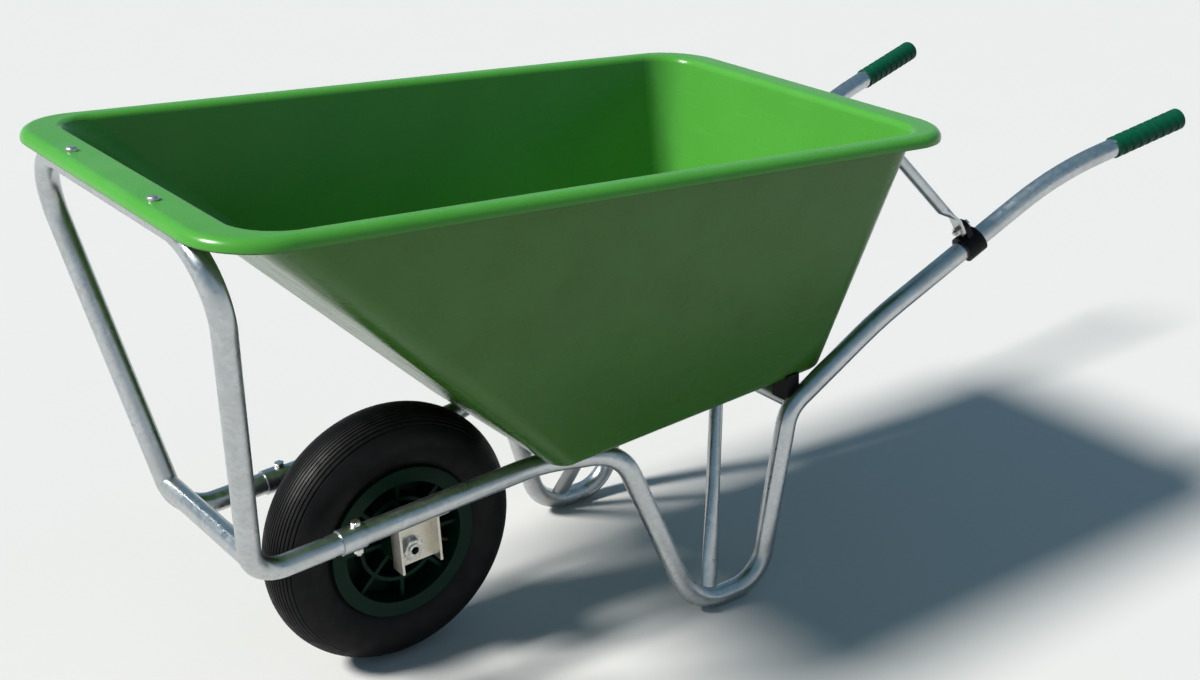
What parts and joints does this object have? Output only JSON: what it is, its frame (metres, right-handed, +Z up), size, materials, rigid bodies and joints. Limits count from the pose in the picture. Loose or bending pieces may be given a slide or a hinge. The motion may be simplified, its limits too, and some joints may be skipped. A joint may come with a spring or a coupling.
{
  "type": "wheelbarrow",
  "caption": "Garden wheelbarrow: a deep plastic tray with a long sloping front on a bent galvanised tube frame, with an air-filled front wheel, looped legs and ribbed grips.",
  "frame": {"origin": "on the ground, midway along the length and on the centre plane", "axes": "+X from the wheel towards the handles, +Z up, +Y across to the right as seen from the handles"},
  "size_m": [1.7708, 0.664, 0.8231],
  "materials": {
    "green_plastic": "moulded, glossy",
    "galvanised_steel": "galvanised",
    "zinc_fastener": "zinc plated",
    "rim_plastic": "moulded",
    "tyre": "satin",
    "butyl_rubber": "matt",
    "grip_rubber": "soft, ribbed",
    "black_plastic": "moulded",
    "bearing_steel": "ground",
    "valve_brass": "turned"
  },
  "bodies": {
    "frame": {"tray": "green_plastic", "front_hoop": "galvanised_steel", "nose_bar": "galvanised_steel", "side_tube_left": "galvanised_steel", "side_tube_right": "galvanised_steel", "rail_sleeve_left": "galvanised_steel", "rail_sleeve_right": "galvanised_steel", "rail_collar_left": "galvanised_steel", "rail_collar_right": "galvanised_steel", "front_cross_bar": "galvanised_steel", "rear_cross_bar": "galvanised_steel", "leg_brace": "galvanised_steel", "axle_bracket_left": "galvanised_steel", "axle_bracket_right": "galvanised_steel", "tray_strut_left": "galvanised_steel", "tray_strut_right": "galvanised_steel", "rail_bolts": "zinc_fastener", "rail_nuts": "zinc_fastener", "axle": "zinc_fastener", "axle_nuts": "zinc_fastener", "axle_washers": "zinc_fastener", "axle_spacers": "zinc_fastener", "clamp_bolts": "zinc_fastener", "clamp_nuts": "zinc_fastener", "strut_bolts": "zinc_fastener", "strut_washers": "zinc_fastener", "rim_bolts": "zinc_fastener", "rim_inserts": "zinc_fastener", "floor_bolts": "zinc_fastener", "floor_washers": "zinc_fastener", "floor_nuts": "zinc_fastener", "handle_clamp_left": "black_plastic", "handle_clamp_right": "black_plastic", "tray_pad_left": "black_plastic", "tray_pad_right": "black_plastic", "grip_left": "grip_rubber", "grip_right": "grip_rubber"},
    "wheel": {"tyre": "tyre", "inner_tube": "butyl_rubber", "wheel_rim": "rim_plastic", "bearing_left": "bearing_steel", "bearing_right": "bearing_steel", "hub_seals": "butyl_rubber", "valve_stem": "valve_brass", "valve_cap": "black_plastic"}
  },
  "joints": [
    {"name": "wheel_spin", "type": "hinge", "parent": "frame", "child": "wheel", "pos_m": [-0.50421, 0, 0.2], "axis": [0, 1, 0], "continuous": true}
  ]
}
